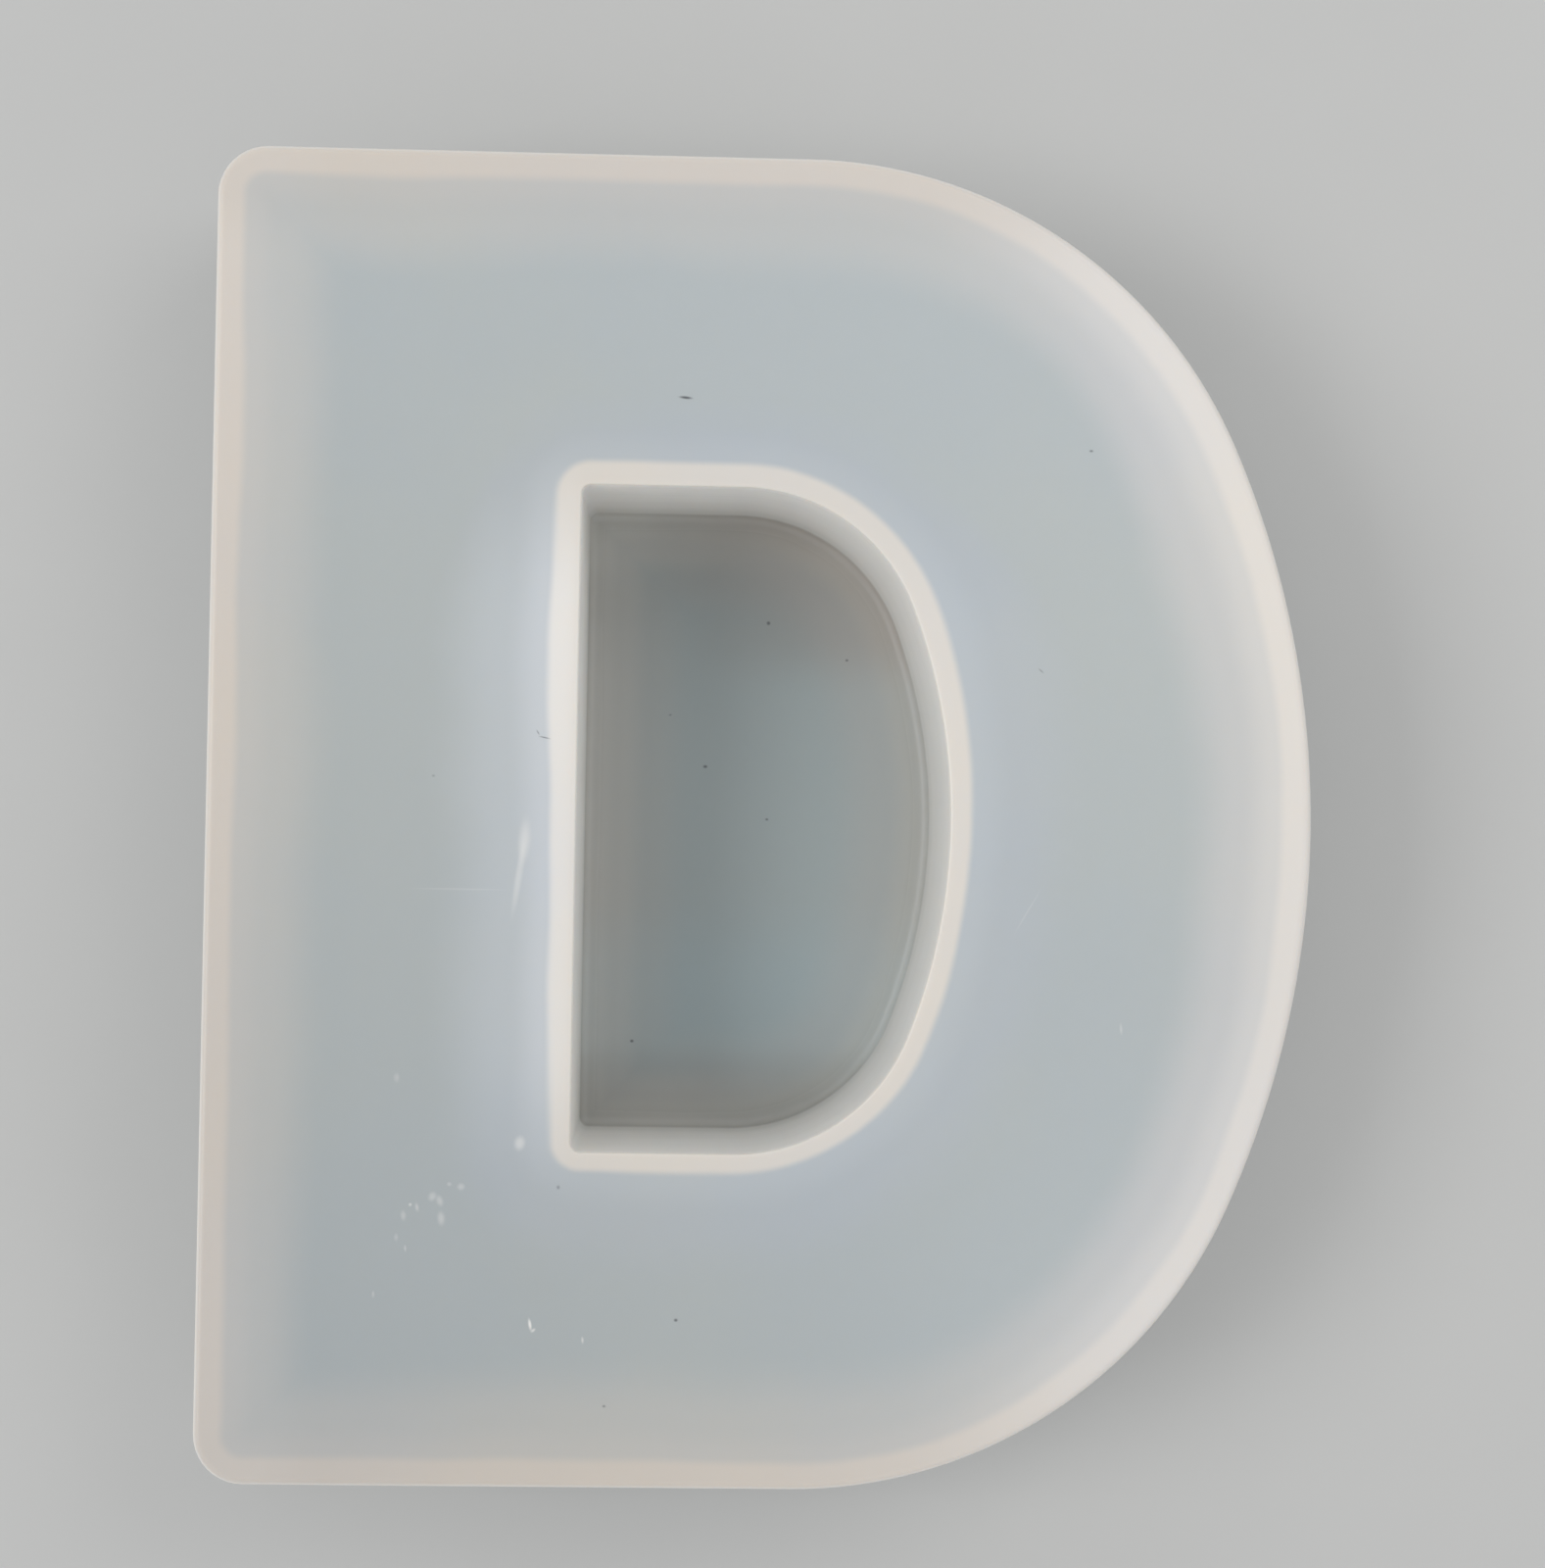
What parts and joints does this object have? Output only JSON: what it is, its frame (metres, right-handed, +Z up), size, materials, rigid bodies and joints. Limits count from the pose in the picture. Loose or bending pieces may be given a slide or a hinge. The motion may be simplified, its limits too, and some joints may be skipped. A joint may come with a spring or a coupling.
{
  "type": "resin casting mould",
  "caption": "Translucent silicone mould for casting a capital letter D in resin, with an open channel, a closed back and a hollow island for the letter's counter.",
  "frame": {"origin": "middle of the footprint, on the plane of the open rim, which is the face the mould rests on here", "axes": "+X across the letter from its stem to its bowl, +Y along the letter's height, +Z up out of the closed back"},
  "size_m": [0.133, 0.16, 0.033],
  "materials": {
    "silicone": "translucent milky platinum silicone, satin to glossy, lightly scuffed"
  },
  "bodies": {
    "root": {"back_panel": "silicone", "outer_wall": "silicone", "counter_wall": "silicone", "counter_web": "silicone"}
  },
  "joints": []
}
